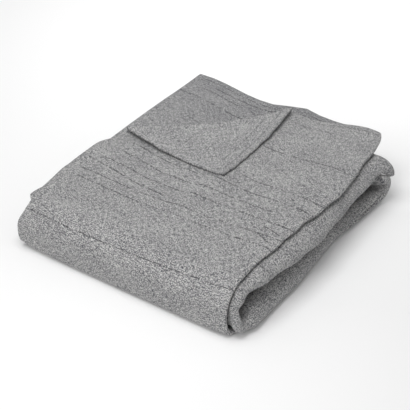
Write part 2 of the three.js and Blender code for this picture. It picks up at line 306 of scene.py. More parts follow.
# The spans of the cross-section from the first side hem to the last, and how finely each is divided
SPAN_STEPS = {
    "top ply": 76,
    "shoulder": 8,
    "upper fold": 8,
    "pinched ply": 8,
    "second ply": 12,
    "left fold": 8,
    "third ply": 8,
    "neck above": 6,
    "brow": 16,
    "lip": 16,
    "neck below": 6,
    "last ply": 8,
}

# The last numbered column of the top ply
TOP_COLUMNS = SPAN_STEPS["top ply"] + SPAN_STEPS["shoulder"]

# The numbered column along which the flat cloth's length is measured, at seven tenths of the top ply
MEASURED_COLUMN = SPAN_STEPS["top ply"] * 0.7

# Between which distances from the edge the hem's thickness fades, as shares of the hem's width
HEM_FADE = (0.9, 1.25)

# The streaks of the mixed yarns: their size across and along the strip in metres, their detail, and their
# share of the tone
MIXED_YARNS = [
    (0.0009, 0.0064, 1.0, 1.55),
    (0.0064, 0.0012, 1.0, 1.45),
    (0.0010, 0.0012, 0.0, 2.6),
    (0.0200, 0.0030, 2.0, 0.2),
    (0.0500, 0.0350, 2.0, 0.34),
]

# The tones between which the dark and the pale yarn fade, how rough the streaks are, how much the crossings
# of the weave show in the tone, and how much the tone and the washed unevenness show in the height
DARK_TONES = (0.05, 0.5)
PALE_TONES = (0.5, 0.95)
STREAK_ROUGHNESS = 0.55
CROSSING_TONE = 0.05
TONE_HEIGHT = 1.6
WASHED_HEIGHT = 0.6

# The thick dark yarns that show, in millimetres on the flat cloth: from and to across it, how far from the
# back end hem both ends lie, and how fine the yarn is. The last row is the stitching of the back end hem.
SLUBS = table(("from", "to", "start", "end", "fineness"), (
    (20, 160, 26, 30, 1.7),
    (420, 690, 14, 12, 1.0),
    (430, 660, 23, 27, 0.9),
    (560, 700, 70, 64, 0.9),
    (225, 300, 39, 40, 1.2),
    (500, 680, 45, 38, 1.0),
    (15, 95, 97, 101, 1.7),
    (205, 346, 129.5, 127, 0.9),
    (555, 640, 132, 121, 1.0),
    (222, 352, 207, 215, 1.0),
    (18, 346, 226, 239, 1.1),
    (44, 300, 252, 262, 1.0),
    (28, 350, 278, 283, 1.0),
    (10, 160, 290, 303, 1.0),
    (20, 350, 316, 310, 1.0),
    (16, 350, 335, 332, 0.9),
    (8, 335, 425, 420, 1.4),
    (306, 336, 294, 302, 1.1),
    (306, 334, 311, 325, 1.1),
    (1004, 1024, 358, 358, 0.9),
    (1000, 1016, 386, 387, 1.1),
    (12, 420, 11, 11, 1.5),
))

# How far the thick dark yarns bow over the width of the top ply
WEFT_BOW = 6.0
TOP_PLY_WIDTH = 350

# In metres, how broad their wander is, and between which distances from their middle they fade out
SLUB_WANDER = 0.004
SLUB_EDGE = (0.0006, 0.0015)

# How dark they are, between which values of the noise they break up, and the same for the short slubs
SLUB_STRENGTH = 0.9
SLUB_BREAKS = (0.65, 0.83)
SHORT_SLUBS = (0.68, 0.74)

# How fine each noise is on the cloth: its cells to the metre across it and along it
WANDER_NOISE = (22, 28)
BREAK_NOISE = (340, 260)
SPELL_NOISE = (30, 90)
SHORT_SLUB_NOISE = (230, 620)
WASHED_NOISE = (130, 60)

# Painted shade on the second and third plies towards their back end: from and to across the flat cloth, how
# far along it the painted shade fades out, and how much dark yarn colour the painted shade mixes in
PAINTED_SHADE_PLIES = {"from": 400, "to": 900, "fades": 260, "share": 0.28}

# How far the floor reaches from the middle, in metres
FLOOR_REACH = 8.0


class ThrowCloth(bpy.types.PropertyGroup):
    """Sizes of the cloth that a user may change"""

    thickness: bpy.props.FloatProperty(
        name="Cloth thickness", description="Thickness of one ply of the cloth",
        default=0.0018, min=0.001, max=0.003, unit="LENGTH",
    )
    hem_thickness: bpy.props.FloatProperty(
        name="Hem thickness", description="Thickness of the cloth where its edge is turned under",
        default=0.0030, min=0.001, max=0.004, unit="LENGTH",
    )
    hem_width: bpy.props.FloatProperty(
        name="Hem width", description="How wide the turned edge is",
        default=0.010, min=0.004, max=0.03, unit="LENGTH",
    )
    yarn_pitch: bpy.props.FloatProperty(
        name="Yarn pitch", description="Distance from one yarn of the weave to the next",
        default=0.0010, min=0.0004, max=0.004, unit="LENGTH",
    )
    unevenness: bpy.props.FloatProperty(
        name="Unevenness", description="How strongly the plies wander and crease, as a share of the usual",
        default=1.0, min=0.0, max=1.5, subtype="FACTOR",
    )


class ThrowColours(bpy.types.PropertyGroup):
    """Colours of the yarns"""

    pale_yarn: bpy.props.FloatVectorProperty(
        name="Pale yarn", description="Colour of the palest fibres of the weave",
        default=(0.62, 0.615, 0.60), min=0.0, max=1.0, size=3, subtype="COLOR",
    )
    grey_yarn: bpy.props.FloatVectorProperty(
        name="Grey yarn", description="Colour of the cloth seen from far away",
        default=(0.240, 0.240, 0.243), min=0.0, max=1.0, size=3, subtype="COLOR",
    )
    # The darkest fibres of the weave, and also the colour of the painted shade on the second and third ply
    dark_yarn_and_painted_shade: bpy.props.FloatVectorProperty(
        name="Dark yarn", description="Colour of the darkest fibres of the weave",
        default=(0.040, 0.041, 0.054), min=0.0, max=1.0, size=3, subtype="COLOR",
    )
    slub_yarn: bpy.props.FloatVectorProperty(
        name="Slub yarn", description="Colour of the thick dark yarns that cross the cloth",
        default=(0.035, 0.035, 0.04), min=0.0, max=1.0, size=3, subtype="COLOR",
    )


class ThrowStudio(bpy.types.PropertyGroup):
    """The camera, the floor and the lights"""

    camera_place: bpy.props.FloatVectorProperty(
        name="Camera place", description="Where the camera stands",
        default=(0.6941, -1.0752, 0.948), size=3, subtype="TRANSLATION", unit="LENGTH",
    )
    camera_tilt: bpy.props.FloatProperty(
        name="Camera tilt", description="How far the camera is tilted up from looking straight down",
        default=math.radians(53.93), subtype="ANGLE",
    )
    camera_turn: bpy.props.FloatProperty(
        name="Camera turn", description="How far the camera is turned round the upright",
        default=math.radians(33.8), subtype="ANGLE",
    )
    camera_lens: bpy.props.FloatProperty(
        name="Focal length", description="Focal length of the camera, in millimetres",
        default=97.64, min=20, max=300,
    )
    floor_colour: bpy.props.FloatVectorProperty(
        name="Floor colour", description="Colour of the floor under the throw",
        default=(0.93, 0.93, 0.93), min=0.0, max=1.0, size=3, subtype="COLOR",
    )
    key_power: bpy.props.FloatProperty(
        name="Key light", description="Power of the large soft light over the throw, in watts",
        default=5.7, min=0, max=500,
    )
    fill_power: bpy.props.FloatProperty(
        name="Fill light", description="Power of the soft light from the front right, in watts",
        default=5.3, min=0, max=500,
    )
    backdrop_power: bpy.props.FloatProperty(
        name="Backdrop light", description="Power of the light on the floor behind the throw, in watts",
        default=8.0, min=0, max=500,
    )
    sky_strength: bpy.props.FloatProperty(
        name="Sky strength", description="Strength of the even light from all round",
        default=0.45, min=0, max=5,
    )


# Small sums

def clamp(value, low=0.0, high=1.0):
    return max(low, min(high, value))


def lerp(a, b, f):
    return a + (b - a) * f


def smoothstep(value, low=0.0, high=1.0):
    f = clamp((value - low) / (high - low))
    return f * f * (3 - 2 * f)


def slope(before, row, after, key, name):
    """The slope of a soft curve at a table's row: level at a peak or a hollow"""
    back = (row[name] - before[name]) / max(row[key] - before[key], 1e-9)
    ahead = (after[name] - row[name]) / max(after[key] - row[key], 1e-9)
    if before is row:
        return ahead
    if after is row:
        return back
    return 2 * back * ahead / (back + ahead) if back * ahead > 0 else 0.0


def column(table, key, name, at):
    """The value of one column of a table at a place, on a soft curve through the table's rows"""
    i = clamp(bisect.bisect_right([row[key] for row in table], at) - 1, 0, len(table) - 2)
    a, b = table[i], table[i + 1]
    span = b[key] - a[key]
    f = clamp((at - a[key]) / span)
    slope_a = slope(table[max(i - 1, 0)], a, b, key, name) * span
    slope_b = slope(a, b, table[min(i + 2, len(table) - 1)], key, name) * span
    rise = b[name] - a[name]
    square = 3 * rise - 2 * slope_a - slope_b
    return a[name] + f * (slope_a + f * (square + f * (slope_a + slope_b - 2 * rise)))


def drift(point, size, seed):
    """A slow wander between about -1 and 1 over places `size` millimetres apart"""
    return noise.noise(point / size + Vector((seed * 7.31, seed * 3.17, seed * 5.53)))


# The fold of the cloth

@functools.cache
def strip_row(at):
    """The sizes of the strip's cross-section at a station"""
    row = {name: column(COURSE, "at", name, at) for name in COURSE[0] if name != "at"}
    row.update({name: column(LOWER_LOOP, "at", name, at) for name in LOWER_LOOP[0] if name != "at"})
    row["upper"] += column(UPPER_SCALLOPS, "at", "out", at)
    row["lower"] += column(LOWER_SCALLOPS, "at", "out", at)
    return row


def run(start, end, across):
    """A level run of the cross-section, or an eased slope where its two depths differ

    `across` says how many plies have been passed, here from its start to its end
    """
    return {"kind": "run", "start": start, "end": end, "across": across}


def bend(start, end, bulge, across):
    """A half-round turn of the cross-section that bulges out in X"""
    return {"kind": "bend", "start": start, "end": end, "bulge": bulge, "across": (across, across)}


def rounding(start, end, across, outward):
    """A quarter round of the cross-section, which goes outward to its edge or back in from it"""
    kind = "outward" if outward else "inward"
    return {"kind": kind, "start": start, "end": end, "across": (across, across)}


@functools.cache
def section_spans(at):
    """The spans of the cross-section at a station, from the first side hem to the last, as (x, depth)"""
    row = strip_row(at)
    drop, pinch = UPPER_EDGE["drop"], UPPER_EDGE["pinch"]
    upper = row["upper"] - pinch / 2
    left = row["left"] + PITCH / 2
    top, deep, lower = row["top"], row["deep"], row["lower"]
    # 0 where the lower fold is shut, and 1 where it stands open by two pitches or more
    opening = clamp((deep - top) / PITCH - 1)
    tip = lerp(top, deep, row["tip"])
    brow, lip = lower - row["brow"], lower - row["lip"]
    neck_in = lerp(brow - NECK["above"], min(upper, brow - NECK["above"]), opening)
    neck_out = lerp(lip - NECK["below"], min(upper - NECK["slope"], lip - NECK["below"]), opening)
    shoulder, opened = upper - UPPER_EDGE["shoulder"], upper - UPPER_EDGE["opens"]
    return [
        run((row["hem"], 0), (shoulder, 0), (0, 0.9)),
        run((shoulder, 0), (upper, drop), (0.9, 1)),
        bend((upper, drop), (upper, drop + pinch), pinch / 2, 1),
        run((upper, drop + pinch), (opened, PITCH), (1, 1.1)),
        run((opened, PITCH), (left, PITCH), (1.1, 2)),
        bend((left, PITCH), (left, 2 * PITCH), -PITCH / 2, 2),
        run((left, 2 * PITCH), (neck_in, 2 * PITCH), (2, 2.9)),
        run((neck_in, 2 * PITCH), (brow, top), (2.9, 3)),
        rounding((brow, top), (lower, tip), 3, outward=True),
        rounding((lower, tip), (lip, deep), 3, outward=False),
        run((lip, deep), (neck_out, 3 * PITCH), (3, 3.1)),
        run((neck_out, 3 * PITCH), (row["last"], 3 * PITCH), (3.1, 4)),
    ]


def span_length(span):
    """How long the cloth of a span is"""
    (x0, d0), (x1, d1) = span["start"], span["end"]
    if span["kind"] == "bend":
        return math.pi * math.sqrt((span["bulge"] ** 2 + ((d1 - d0) / 2) ** 2) / 2)
    if span["kind"] == "run":
        return math.hypot(x1 - x0, d1 - d0)
    return math.pi / 2 * math.sqrt(((x1 - x0) ** 2 + (d1 - d0) ** 2) / 2)


def span_point(span, f):
    """A point of a span, as (x, depth)"""
    (x0, d0), (x1, d1) = span["start"], span["end"]
    if span["kind"] == "bend":
        angle = math.pi * f
        return x0 + span["bulge"] * math.sin(angle), (d0 + d1) / 2 + (d0 - d1) / 2 * math.cos(angle)
    if span["kind"] == "run":
        return lerp(x0, x1, f), lerp(d0, d1, smoothstep(f))
    angle = math.pi / 2 * f
    if span["kind"] == "outward":
        return lerp(x0, x1, math.sin(angle)), lerp(d0, d1, 1 - math.cos(angle))
    return lerp(x0, x1, 1 - math.cos(angle)), lerp(d0, d1, math.sin(angle))


def span_of(number):
    """Which span a numbered column lies on, and how far along it"""
    for i, steps in enumerate(SPAN_STEPS.values()):
        if number <= steps:
            return i, number / steps
        number -= steps
    return len(SPAN_STEPS) - 1, 1.0


def section_point(number, at):
    """A point of the cross-section: x, depth under the outer ply, plies passed"""
    i, f = span_of(number)
    span = section_spans(at)[i]
    return (*span_point(span, f), lerp(*span["across"], f))


def flat_across(number, at):
    """How far across the flat cloth a numbered column lies from the first side hem"""
    i, f = span_of(number)
    spans = section_spans(at)
    return sum(span_length(span) for span in spans[:i]) + f * span_length(spans[i])


def back_end_y(x, across):
    """Where the strip's back end lies in Y, at a place across the plies"""
    upper_plies = clamp(3 - across)
    return column(BACK_END, "across", "y", across) + upper_plies * column(BACK_WAVE, "x", "out", x)


def strip_place(number, at):
    """The centre of the cloth at a numbered column and a station, with no corner turned back"""
    x, depth, across = section_point(number, at)
    i = min(int(at), len(STRETCHES) - 1)
    f = at - i
    stretch = STRETCHES[i]
    if "inward" in stretch:
        start = back_end_y(x, across) if stretch["from_y"] is None else stretch["from_y"]
        height = stretch["level"] * PITCH + stretch["inward"] * depth
        return Vector((x, lerp(start, stretch["to_y"], f), height))
    radius = stretch["radius"] * PITCH - depth
    along = math.sin(math.pi * f)
    upright = stretch["start"] * math.cos(math.pi * f)
    fullness = column(FRONT_FULLNESS, "x", "below" if upright < 0 else "above", x)
    outer = clamp(radius / (TOP_LEVEL * PITCH * 0.5)) if stretch["side"] < 0 else 0.0
    power = lerp(2, fullness, outer)
    reach = (abs(along) ** power + abs(upright) ** power) ** (-1 / power)
    y = stretch["y"] + stretch["side"] * radius * reach * along
    return Vector((x, y, stretch["level"] * PITCH + radius * reach * upright))


def settle(point):
    """The stack stands a little higher along its right side, where the folds lie"""
    high = clamp(point.x / STACK_HALF_WIDTH, -1, 1)
    return Vector((point.x, point.y, BASE_CENTRE + point.z * (1 + HIGH_SIDE_GAIN * (0.5 + 0.5 * high))))


def top_height(x, y):
    """How high the top ply lies at a place in plan"""
    return settle(Vector((x, y, TOP_LEVEL * PITCH))).z


def turn_point(along):
    """A point of the curve that the corner turns along, in plan"""
    a, b, c = TURN_CURVE
    return a * (1 - along) ** 2 + b * 2 * along * (1 - along) + c * along ** 2


def turn_outward(along):
    """The direction in plan that points square out of that curve, away from the flap"""
    a, b, c = TURN_CURVE
    tangent = ((b - a) * (1 - along) + (c - b) * along).normalized()
    return Vector((-tangent.y, tangent.x))


def cloth_stations():
    """The stations of the grid's rows, from the back end hem inwards"""
    stations = [0.0]
    for i, stretch in enumerate(STRETCHES):
        stations += [i + (k + 1) / stretch["steps"] for k in range(stretch["steps"])]
    return stations


@functools.cache
def cloth_rows():
    """The stations of the grid's rows, and how far each row lies from the back end hem on the flat cloth"""
    stations = cloth_stations()
    places = [strip_place(MEASURED_COLUMN, at) for at in stations]
    lengths = [0.0]
    for before, after in zip(places, places[1:]):
        lengths.append(lengths[-1] + (after - before).length)
    return stations, lengths


def station_of(length):
    """The station that lies this far from the back end hem on the flat cloth"""
    stations, lengths = cloth_rows()
    i = bisect.bisect_right(lengths, length) - 1
    return lerp(stations[i], stations[i + 1], (length - lengths[i]) / (lengths[i + 1] - lengths[i]))


def drawn_in(start, along):
    """How far the cloth is drawn in at the foot of the turn"""
    at = station_of((1 - along) * (1 + ROLL_SHARE) * CORNER["side_hem"])
    x = strip_row(at)["hem"] + along * (1 + ROLL_SHARE) * CORNER["end_hem"]
    y = lerp(back_end_y(x, 0), FRONT_Y, at)
    return start - Vector((x, y))


def cloth_place(number, at, flat):
    """The centre of the cloth at a numbered column and a station, which lies at `flat` on the flat cloth

    `share` is 0 at the cloth's corner and 1 on the line of the turn, and `along` goes from 0 at the side hem
    to 1 at the end hem
    """
    point = strip_place(number, at)
    share = flat.x / CORNER["end_hem"] + flat.y / CORNER["side_hem"]
    along = flat.x / CORNER["end_hem"] / share if share > 0 else 0.5
    reach = lerp(CORNER["side_reach"], CORNER["end_reach"], along)
    if share > reach or number > TOP_COLUMNS:
        return settle(point)
    start = turn_point(along)
    if share > 1 + ROLL_SHARE:
        pull = smoothstep(reach - share, 0, reach - 1 - ROLL_SHARE)
        foot = point.xy + drawn_in(start, along) * pull
        return settle(Vector((foot.x, foot.y, point.z)))
    ends = lerp(CORNER["side_roll"], CORNER["end_roll"], along)
    roll = lerp(ends, CORNER["roll"], math.sin(math.pi * along))
    if share > 1 - ROLL_SHARE:
        angle = (1 - share) / ROLL_SHARE * math.pi / 2
        out = start + turn_outward(along) * roll * math.cos(angle)
        return Vector((out.x, out.y, top_height(*out) + roll * (1 + math.sin(angle))))
    near = 1 - share / (1 - ROLL_SHARE)
    bow = CORNER["side_bow"].lerp(CORNER["end_bow"], along) * 4 * near * (1 - near)
    lies = start.lerp(CORNER["tip"], near) + bow
    over = CORNER["waves_over"]
    waves = Vector((drift(lies.to_3d(), over, seed=6), drift(lies.to_3d(), over, seed=7)))
    lies += waves * CORNER["waves"] * smoothstep(near, 0, CORNER["waves_start"])
    lift = lerp(2 * roll, CORNER["tip_lift"], smoothstep(near, 0, CORNER["settled"]))
    lift += drift(lies.to_3d(), CORNER["swell_over"], seed=8) * CORNER["swell"]
    return Vector((lies.x, lies.y, top_height(*lies) + lift))


def gap_to(point, start, end):
    """How far a place lies from the line between two others"""
    line = end - start
    f = clamp((point - start).dot(line) / line.length_squared)
    return (point - start - line * f).length


def crease_pull(point):
    """How far the creases move a place"""
    moved = Vector((0, 0, 0))
    for crease in CREASES:
        places = [Vector(place) for place in crease["places"]]
        gap = min(gap_to(point, start, end) for start, end in zip(places, places[1:]))
        moved += Vector(crease["push"]) * math.exp(-((gap / crease["width"]) ** 2))
    return moved


def uneven(point, strength):
    """The place with the slow wander and the creases added, which both fade out down to the floor"""
    height = clamp(point.z / STACK_HEIGHT)
    plan = Vector((point.x, point.y, 0))
    rise = WANDER["rise"] * drift(plan, WANDER["rise_over"], seed=1)
    rise += WANDER["small_rise"] * drift(plan, WANDER["small_over"], seed=2)
    over = WANDER["shift_over"]
    shift = Vector((drift(point, over, seed=3), drift(point, over, seed=4), 0)) * WANDER["shift"]
    wander = shift * height + Vector((0, 0, rise * height))
    wander += crease_pull(point) * clamp(point.z / CREASED_ABOVE)
    return point + wander * strength


def flat_cloth():
    """A grid of the whole cloth laid out flat, which knows its numbered columns and stations"""
    columns = sum(SPAN_STEPS.values())
    stations, lengths = cloth_rows()
    rows = len(stations) - 1
    bm = bmesh.new()
    bmesh.ops.create_grid(bm, x_segments=columns, y_segments=rows, size=1.0)
    number_layer = bm.verts.layers.float.new("number")
    at_layer = bm.verts.layers.float.new("station")
    for vert in bm.verts:
        number = round((vert.co.x + 1) / 2 * columns)
        row = round((vert.co.y + 1) / 2 * rows)
        vert[number_layer] = number
        vert[at_layer] = stations[row]
        vert.co = Vector((flat_across(number, stations[row]), lengths[row], 0))
    return bm


def fold_cloth(bm, strength):
    """Folds the flat cloth into its stack, and keeps each place of the flat cloth as its UV, in metres"""
    number_layer = bm.verts.layers.float["number"]
    at_layer = bm.verts.layers.float["station"]
    uv_layer = bm.loops.layers.uv.new("flat_cloth")
    for face in bm.faces:
        face.smooth = True
        for loop in face.loops:
            loop[uv_layer].uv = loop.vert.co.xy * MM
    for vert in bm.verts:
        place = cloth_place(vert[number_layer], vert[at_layer], vert.co.xy)
        vert.co = (uneven(place, strength) - STACK_MIDDLE) * MM


def hem_weights(piece, sizes):
    """A vertex group that is 1 in the hems and lower over the rest of the cloth

    A row of the cloth is known by how far along the cloth it lies, to a tenth of a millimetre
    """
    mesh = piece.data
    uvs = mesh.uv_layers["flat_cloth"].uv
    flat = [None] * len(mesh.vertices)
    for loop in mesh.loops:
        flat[loop.vertex_index] = uvs[loop.index].vector.copy()
    length = max(place.y for place in flat)
    width = {}
    for place in flat:
        key = round(place.y, 4)
        width[key] = max(width.get(key, 0.0), place.x)
    group = piece.vertex_groups.new(name="hems")
    plain = sizes.thickness / sizes.hem_thickness
    for i, place in enumerate(flat):
        edge = min(place.x, place.y, length - place.y, width[round(place.y, 4)] - place.x)
        hem = 1 - smoothstep(edge, sizes.hem_width * HEM_FADE[0], sizes.hem_width * HEM_FADE[1])
        group.add([i], lerp(plain, 1.0, hem), "REPLACE")
    return group


# The material of the cloth

def node_at(tree, kind, **settings):
    """A new node with its settings"""
    node = tree.nodes.new(kind)
    for name, value in settings.items():
        setattr(node, name, value)
    return node


def math_node(tree, operation, *values):
    """A Math node whose inputs are numbers or other nodes' outputs"""
    node = node_at(tree, "ShaderNodeMath", operation=operation)
    for socket, value in zip(node.inputs, values):
        if isinstance(value, (int, float)):
            socket.default_value = value
        else:
            tree.links.new(value, socket)
    return node.outputs[0]


def stretched(tree, vector, x, y):
    """The vector multiplied part by part, with its third part as it is"""
    node = node_at(tree, "ShaderNodeVectorMath", operation="MULTIPLY")
    tree.links.new(vector, node.inputs[0])
    node.inputs[1].default_value = (x, y, 1.0)
    return node.outputs[0]


def noise_node(tree, flat, cells, detail=1.0, roughness=0.5):
    """Noise over the flat cloth, with so many cells to the metre across it and along it"""
    vector = stretched(tree, flat, *cells)
    node = node_at(tree, "ShaderNodeTexNoise", noise_dimensions="3D")
    tree.links.new(vector, node.inputs["Vector"])
    node.inputs["Scale"].default_value = 1.0
    node.inputs["Detail"].default_value = detail
    node.inputs["Roughness"].default_value = roughness
    return node.outputs["Fac"]


def spread(tree, value, low, high, to_low=0.0, to_high=1.0):
    """The value mapped softly from one range to another"""
    node = node_at(tree, "ShaderNodeMapRange", interpolation_type="SMOOTHSTEP")
    tree.links.new(value, node.inputs["Value"])
    for name, number in (("From Min", low), ("From Max", high), ("To Min", to_low), ("To Max", to_high)):
        node.inputs[name].default_value = number
    return node.outputs["Result"]


def blended(tree, factor, a, b):
    """One colour laid over another by a factor"""
    node = node_at(tree, "ShaderNodeMix", data_type="RGBA")
    tree.links.new(factor, node.inputs["Factor"])
    for socket, value in ((node.inputs[6], a), (node.inputs[7], b)):
        if isinstance(value, bpy.types.NodeSocket):
            tree.links.new(value, socket)
        else:
            socket.default_value = (*value, 1.0)
    return node.outputs[2]


def new_group(name, inputs, outputs):
    """An empty node group with named sockets: {name: (kind, default)}"""
    group = bpy.data.node_groups.new(name, "ShaderNodeTree")
    for label, (kind, default) in inputs.items():
        socket = group.interface.new_socket(label, in_out="INPUT", socket_type=kind)
        if default is not None:
            socket.default_value = default
    for label, kind in outputs.items():
        group.interface.new_socket(label, in_out="OUTPUT", socket_type=kind)
    return group, group.nodes.new("NodeGroupInput"), group.nodes.new("NodeGroupOutput")


def plain_weave_group(pitch):
    """Plain weave of mixed grey yarns: which fibres are pale or dark, and the height of the yarns"""
    group, given, result = new_group(
        "mixed_grey_weave",
        {"Flat Cloth": ("NodeSocketVector", None)},
        {"Tone": "NodeSocketFloat", "Height": "NodeSocketFloat"},
    )
    flat = given.outputs["Flat Cloth"]
    yarns = 1 / pitch
    parts = node_at(group, "ShaderNodeSeparateXYZ")
    group.links.new(stretched(group, flat, math.pi * yarns, math.pi * yarns), parts.inputs[0])
    over = math_node(
        group, "MULTIPLY",
        math_node(group, "SINE", parts.outputs[0]), math_node(group, "SINE", parts.outputs[1]),
    )
    tone = 0.5
    for across, along, detail, share in MIXED_YARNS:
        streaks = noise_node(group, flat, (1 / across, 1 / along), detail, STREAK_ROUGHNESS)
        tone = math_node(group, "MULTIPLY_ADD", math_node(group, "SUBTRACT", streaks, 0.5), share, tone)
    group.links.new(math_node(group, "MULTIPLY_ADD", over, CROSSING_TONE, tone), result.inputs["Tone"])
    height = math_node(group, "MULTIPLY_ADD", tone, TONE_HEIGHT, math_node(group, "ABSOLUTE", over))
    group.links.new(height, result.inputs["Height"])
    return group


def slub_group():
    """How near a place is to one thick yarn that crosses the cloth, or to the nearest of those before it"""
    group, given, result = new_group(
        "slub_yarn",
        {
            "Across": ("NodeSocketFloat", 0.0),
            "Along": ("NodeSocketFloat", 0.0),
            "Middle": ("NodeSocketFloat", 0.0),
            "Half Length": ("NodeSocketFloat", 0.1),
            "Place": ("NodeSocketFloat", 0.0),
            "Slant": ("NodeSocketFloat", 0.0),
            "Fineness": ("NodeSocketFloat", 1.0),
            "Nearest": ("NodeSocketFloat", 1.0),
        },
        {"Nearest": "NodeSocketFloat"},
    )
    sockets = given.outputs
    centre = math_node(group, "MULTIPLY_ADD", sockets["Across"], sockets["Slant"], sockets["Place"])
    off = math_node(group, "ABSOLUTE", math_node(group, "SUBTRACT", sockets["Along"], centre))
    inside = math_node(group, "COMPARE", sockets["Across"], sockets["Middle"], sockets["Half Length"])
    away = math_node(group, "SUBTRACT", math_node(group, "MULTIPLY", off, sockets["Fineness"]), inside)
    group.links.new(math_node(group, "MINIMUM", away, sockets["Nearest"]), result.inputs["Nearest"])
    return group


def slub_mask(tree, uv):
    """Where the thick dark yarns lie: a little bowed, wandering and broken"""
    parts = node_at(tree, "ShaderNodeSeparateXYZ")
    tree.links.new(uv, parts.inputs[0])
    across, along = parts.outputs[0], parts.outputs[1]
    share = node_at(tree, "ShaderNodeMath", operation="DIVIDE", use_clamp=True)
    tree.links.new(across, share.inputs[0])
    share.inputs[1].default_value = TOP_PLY_WIDTH * MM
    rest = math_node(tree, "SUBTRACT", 1.0, share.outputs[0])
    arch = math_node(tree, "MULTIPLY", math_node(tree, "MULTIPLY", share.outputs[0], rest), 4 * WEFT_BOW * MM)
    wander = math_node(tree, "SUBTRACT", noise_node(tree, uv, WANDER_NOISE), 0.5)
    wandered = math_node(tree, "MULTIPLY_ADD", wander, SLUB_WANDER, arch)
    straight = math_node(tree, "SUBTRACT", along, wandered)
    group = slub_group()
    nearest = 1.0
    for row in SLUBS:
        yarn = node_at(tree, "ShaderNodeGroup")
        yarn.node_tree = group
        tree.links.new(across, yarn.inputs["Across"])
        tree.links.new(straight, yarn.inputs["Along"])
        slant = (row["end"] - row["start"]) / (row["to"] - row["from"])
        yarn.inputs["Middle"].default_value = (row["from"] + row["to"]) / 2 * MM
        yarn.inputs["Half Length"].default_value = (row["to"] - row["from"]) / 2 * MM
        yarn.inputs["Slant"].default_value = slant
        yarn.inputs["Place"].default_value = (row["start"] - slant * row["from"]) * MM
        yarn.inputs["Fineness"].default_value = row["fineness"]
        if isinstance(nearest, bpy.types.NodeSocket):
            tree.links.new(nearest, yarn.inputs["Nearest"])
        nearest = yarn.outputs["Nearest"]
    off = math_node(tree, "ADD", nearest, 1.0)
    breaks = noise_node(tree, uv, BREAK_NOISE)
    spells = noise_node(tree, uv, SPELL_NOISE)
    dashes = spread(tree, math_node(tree, "MULTIPLY_ADD", spells, 0.5, breaks), *SLUB_BREAKS)
    return math_node(tree, "MULTIPLY", spread(tree, off, *SLUB_EDGE, 1.0, 0.0), dashes)


def painted_back_end_shade(tree, uv):
    """Painted shade: how much darker the second and third ply are made towards the back end hem"""
    parts = node_at(tree, "ShaderNodeSeparateXYZ")
    tree.links.new(uv, parts.inputs[0])
    middle = (PAINTED_SHADE_PLIES["to"] + PAINTED_SHADE_PLIES["from"]) / 2 * MM
    half = (PAINTED_SHADE_PLIES["to"] - PAINTED_SHADE_PLIES["from"]) / 2 * MM
    inner_plies = math_node(tree, "COMPARE", parts.outputs[0], middle, half)
    near_end = spread(tree, parts.outputs[1], 0.0, PAINTED_SHADE_PLIES["fades"] * MM, PAINTED_SHADE_PLIES["share"], 0.0)
    return math_node(tree, "MULTIPLY", inner_plies, near_end)


def throw_material(sizes, colours):
    """Mixed grey cotton: its weave, the thick dark yarns, the small unevenness of washed cloth, and painted
    shade towards the back end of the second and third ply
    """
    material = bpy.data.materials.new("mixed_grey_cotton")
    material.use_nodes = True
    tree = material.node_tree
    tree.nodes.clear()
    output = node_at(tree, "ShaderNodeOutputMaterial")
    shader = node_at(tree, "ShaderNodeBsdfPrincipled")
    tree.links.new(shader.outputs[0], output.inputs["Surface"])
    uv = node_at(tree, "ShaderNodeUVMap", uv_map="flat_cloth").outputs[0]

    weave = node_at(tree, "ShaderNodeGroup")
    weave.node_tree = plain_weave_group(sizes.yarn_pitch)
    tree.links.new(uv, weave.inputs["Flat Cloth"])
    tone = weave.outputs["Tone"]
    dark_side = blended(tree, spread(tree, tone, *DARK_TONES), colours.dark_yarn_and_painted_shade, colours.grey_yarn)
    mixed = blended(tree, spread(tree, tone, *PALE_TONES), dark_side, colours.pale_yarn)
    # painted shade: the dark yarn colour mixed in towards the back end of the second and third ply
    mixed = blended(tree, painted_back_end_shade(tree, uv), mixed, colours.dark_yarn_and_painted_shade)

    short_slubs = spread(tree, noise_node(tree, uv, SHORT_SLUB_NOISE), *SHORT_SLUBS)
    mask = math_node(tree, "MAXIMUM", short_slubs, slub_mask(tree, uv))
    slubbed = blended(tree, math_node(tree, "MULTIPLY", mask, SLUB_STRENGTH), mixed, colours.slub_yarn)
    tree.links.new(slubbed, shader.inputs["Base Color"])

    washed = math_node(tree, "MULTIPLY", noise_node(tree, uv, WASHED_NOISE, detail=2.0), WASHED_HEIGHT)
    height = math_node(tree, "ADD", weave.outputs["Height"], washed)
    height = math_node(tree, "SUBTRACT", height, mask)
    bump = node_at(tree, "ShaderNodeBump")
    bump.inputs["Strength"].default_value = 0.5
    bump.inputs["Distance"].default_value = 0.00022
    tree.links.new(height, bump.inputs["Height"])
    tree.links.new(bump.outputs[0], shader.inputs["Normal"])
    shader.inputs["Roughness"].default_value = 0.92
    shader.inputs["Specular IOR Level"].default_value = 0.25
    shader.inputs["Sheen Weight"].default_value = 0.12
    shader.inputs["Sheen Roughness"].default_value = 0.6
    return material


# Objects, and the operators and panel of the add-on

def floor_material(colour):
    """The matt, pale surface that the throw lies on"""
    material = bpy.data.materials.new("pale_floor")
    material.use_nodes = True
    shader = material.node_tree.nodes["Principled BSDF"]
    shader.inputs["Base Color"].default_value = (*colour, 1.0)
    shader.inputs["Roughness"].default_value = 0.9
    shader.inputs["Specular IOR Level"].default_value = 0.1
    return material


def link(obj):
    """Puts an object into the scene, and gives it back"""
    bpy.context.scene.collection.objects.link(obj)
    return obj


def mesh_object(name, bm):
    """A new object in the scene with the mesh built so far"""
    mesh = bpy.data.meshes.new(name)
    bm.to_mesh(mesh)
    bm.free()
    return link(bpy.data.objects.new(name, mesh))


